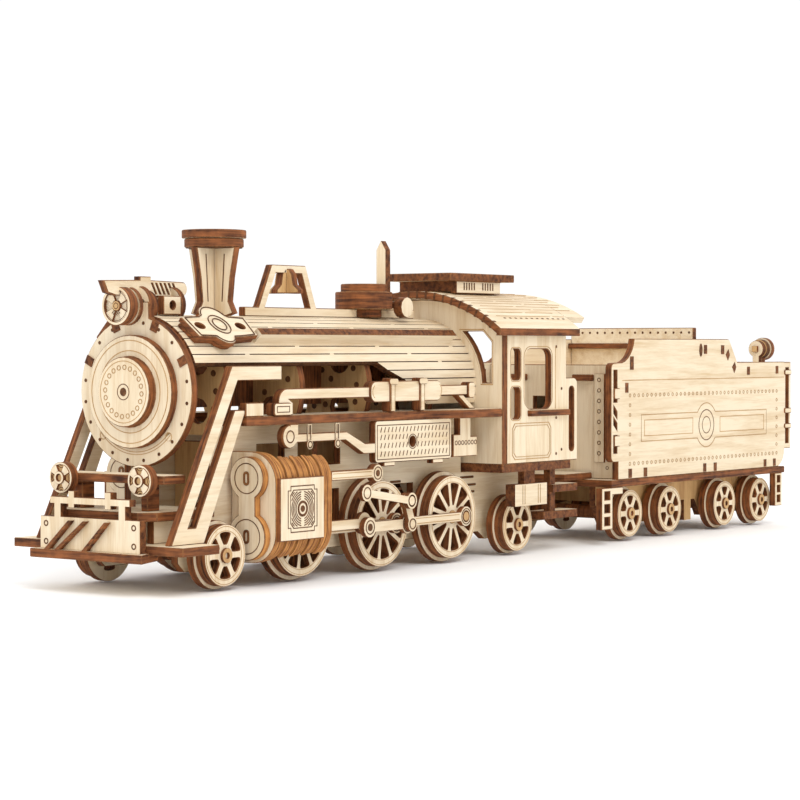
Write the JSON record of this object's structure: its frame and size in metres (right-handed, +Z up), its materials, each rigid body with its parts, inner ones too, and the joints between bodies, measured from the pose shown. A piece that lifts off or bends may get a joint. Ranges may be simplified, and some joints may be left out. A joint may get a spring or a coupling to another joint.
{
  "type": "wooden 3d jigsaw model",
  "caption": "Laser-cut plywood jigsaw model of a steam locomotive and tender, with spoked wheels that turn, linked side rods and a swivelling tender coupling.",
  "frame": {"origin": "bottom centre of the bounding box, on the surface the wheels stand on, midway along the train", "axes": "+X towards the tender, so the pilot points to -X; +Y towards the right side of the train; +Z up"},
  "size_m": [0.287, 0.0556, 0.081],
  "materials": {
    "ply_face": "bare sanded birch or basswood plywood, pale cream face with fine grain",
    "ply_warm": "bare plywood, a little darker from smoke beside the laser cuts",
    "cut_edge_stack": "stacked laser-cut sheets showing burnt brown edges with paler glue lines",
    "scorched_disc": "small laser-cut discs scorched to a medium brown"
  },
  "bodies": {
    "engine": {"side_frame_left": "ply_warm", "marker_lamp_left": "scorched_disc", "front_strut_left": "ply_face", "running_board_left": "ply_face", "air_tank_left": "ply_face", "cylinder_left": "cut_edge_stack", "cab_side_left": "ply_face", "side_frame_right": "ply_warm", "marker_lamp_right": "scorched_disc", "front_strut_right": "ply_face", "running_board_right": "ply_face", "air_tank_right": "ply_face", "cylinder_right": "cut_edge_stack", "cab_side_right": "ply_face", "frame_keel": "ply_warm", "pilot_base": "ply_face", "pilot_plate": "ply_face", "front_deck": "ply_face", "lamp_board": "ply_face", "smokebox_front": "ply_face", "smokebox_door": "ply_face", "headlight": "ply_warm", "chimney": "ply_warm", "boiler_jacket": "ply_face", "boiler_former": "ply_warm", "boiler_spine": "ply_face", "bell": "scorched_disc", "steam_dome": "cut_edge_stack", "whistle": "ply_face", "cab_front_wall": "ply_face", "cab_floor": "ply_warm", "cab_roof": "ply_face", "roof_ventilator": "ply_face"},
    "tender": {"tender_side_left": "ply_face", "tender_side_right": "ply_face", "tender_floor": "ply_warm", "tender_front_wall": "ply_face", "tender_rear_wall": "ply_face", "tender_deck": "ply_warm", "bunker_board": "ply_face", "tender_bogie_frame": "ply_warm"},
    "pilot_wheels": {"wheelset_pilot": "ply_warm"},
    "driver_1": {"wheelset_driver_1": "ply_warm"},
    "driver_2": {"wheelset_driver_2": "ply_warm", "return_crank_left": "ply_warm", "return_crank_right": "ply_warm"},
    "driver_3": {"wheelset_driver_3": "ply_warm"},
    "trailing_wheels": {"wheelset_trailing": "ply_warm"},
    "tender_wheels_1": {"wheelset_tender_1": "ply_warm"},
    "tender_wheels_2": {"wheelset_tender_2": "ply_warm"},
    "tender_wheels_3": {"wheelset_tender_3": "ply_warm"},
    "tender_wheels_4": {"wheelset_tender_4": "ply_warm"},
    "side_rod_left": {"side_rod_left": "ply_face"},
    "main_rod_left": {"main_rod_left": "ply_face"},
    "eccentric_rod_left": {"eccentric_rod_left": "ply_face"},
    "crosshead_left": {"crosshead_left": "ply_face"},
    "side_rod_right": {"side_rod_right": "ply_face"},
    "main_rod_right": {"main_rod_right": "ply_face"},
    "eccentric_rod_right": {"eccentric_rod_right": "ply_face"},
    "crosshead_right": {"crosshead_right": "ply_face"}
  },
  "joints": [
    {"name": "pilot_spin", "type": "hinge", "parent": "engine", "child": "pilot_wheels", "pos_m": [-0.1196, 0, 0.0077], "axis": [0, 1, 0], "continuous": true},
    {"name": "driver_1_spin", "type": "hinge", "parent": "engine", "child": "driver_1", "pos_m": [-0.09265, 0, 0.01136], "axis": [0, 1, 0], "continuous": true},
    {"name": "driver_2_spin", "type": "hinge", "parent": "engine", "child": "driver_2", "pos_m": [-0.0619, 0, 0.01136], "axis": [0, 1, 0], "continuous": true},
    {"name": "driver_3_spin", "type": "hinge", "parent": "engine", "child": "driver_3", "pos_m": [-0.0327, 0, 0.01136], "axis": [0, 1, 0], "continuous": true},
    {"name": "trailing_spin", "type": "hinge", "parent": "engine", "child": "trailing_wheels", "pos_m": [-0.0033, 0, 0.0077], "axis": [0, 1, 0], "continuous": true},
    {"name": "tender_swivel", "type": "hinge", "parent": "engine", "child": "tender", "pos_m": [0.0215, 0, 0.0185], "axis": [0, 0, 1], "range_deg": [-12, 12]},
    {"name": "tender_1_spin", "type": "hinge", "parent": "tender", "child": "tender_wheels_1", "pos_m": [0.0532, 0, 0.0075], "axis": [0, 1, 0], "continuous": true},
    {"name": "tender_2_spin", "type": "hinge", "parent": "tender", "child": "tender_wheels_2", "pos_m": [0.0751, 0, 0.0075], "axis": [0, 1, 0], "continuous": true},
    {"name": "tender_3_spin", "type": "hinge", "parent": "tender", "child": "tender_wheels_3", "pos_m": [0.1073, 0, 0.0075], "axis": [0, 1, 0], "continuous": true},
    {"name": "tender_4_spin", "type": "hinge", "parent": "tender", "child": "tender_wheels_4", "pos_m": [0.1294, 0, 0.0075], "axis": [0, 1, 0], "continuous": true},
    {"name": "side_rod_left_pin", "type": "hinge", "parent": "driver_2", "child": "side_rod_left", "pos_m": [-0.0581, -0.02085, 0.01136], "axis": [0, 1, 0], "continuous": true},
    {"name": "main_rod_left_pin", "type": "hinge", "parent": "driver_2", "child": "main_rod_left", "pos_m": [-0.0581, -0.02415, 0.01136], "axis": [0, 1, 0], "continuous": true},
    {"name": "eccentric_rod_left_pin", "type": "hinge", "parent": "driver_2", "child": "eccentric_rod_left", "pos_m": [-0.0603, -0.02715, 0.0171], "axis": [0, 1, 0], "continuous": true},
    {"name": "crosshead_left_slide", "type": "slide", "parent": "engine", "child": "crosshead_left", "axis": [-1, 0, 0], "range_m": [0, 0.0076]},
    {"name": "side_rod_right_pin", "type": "hinge", "parent": "driver_2", "child": "side_rod_right", "pos_m": [-0.0581, 0.02085, 0.01136], "axis": [0, 1, 0], "continuous": true},
    {"name": "main_rod_right_pin", "type": "hinge", "parent": "driver_2", "child": "main_rod_right", "pos_m": [-0.0581, 0.02415, 0.01136], "axis": [0, 1, 0], "continuous": true},
    {"name": "eccentric_rod_right_pin", "type": "hinge", "parent": "driver_2", "child": "eccentric_rod_right", "pos_m": [-0.0603, 0.02715, 0.0171], "axis": [0, 1, 0], "continuous": true},
    {"name": "crosshead_right_slide", "type": "slide", "parent": "engine", "child": "crosshead_right", "axis": [-1, 0, 0], "range_m": [0, 0.0076]}
  ],
  "couplings": [
    {"joint": "driver_1_spin", "follows": "driver_2_spin", "ratio": 1},
    {"joint": "driver_3_spin", "follows": "driver_2_spin", "ratio": 1},
    {"joint": "side_rod_left_pin", "follows": "driver_2_spin", "ratio": -1},
    {"joint": "main_rod_left_pin", "follows": "driver_2_spin", "ratio": -1},
    {"joint": "eccentric_rod_left_pin", "follows": "driver_2_spin", "ratio": -1},
    {"joint": "side_rod_right_pin", "follows": "driver_2_spin", "ratio": -1},
    {"joint": "main_rod_right_pin", "follows": "driver_2_spin", "ratio": -1},
    {"joint": "eccentric_rod_right_pin", "follows": "driver_2_spin", "ratio": -1}
  ]
}
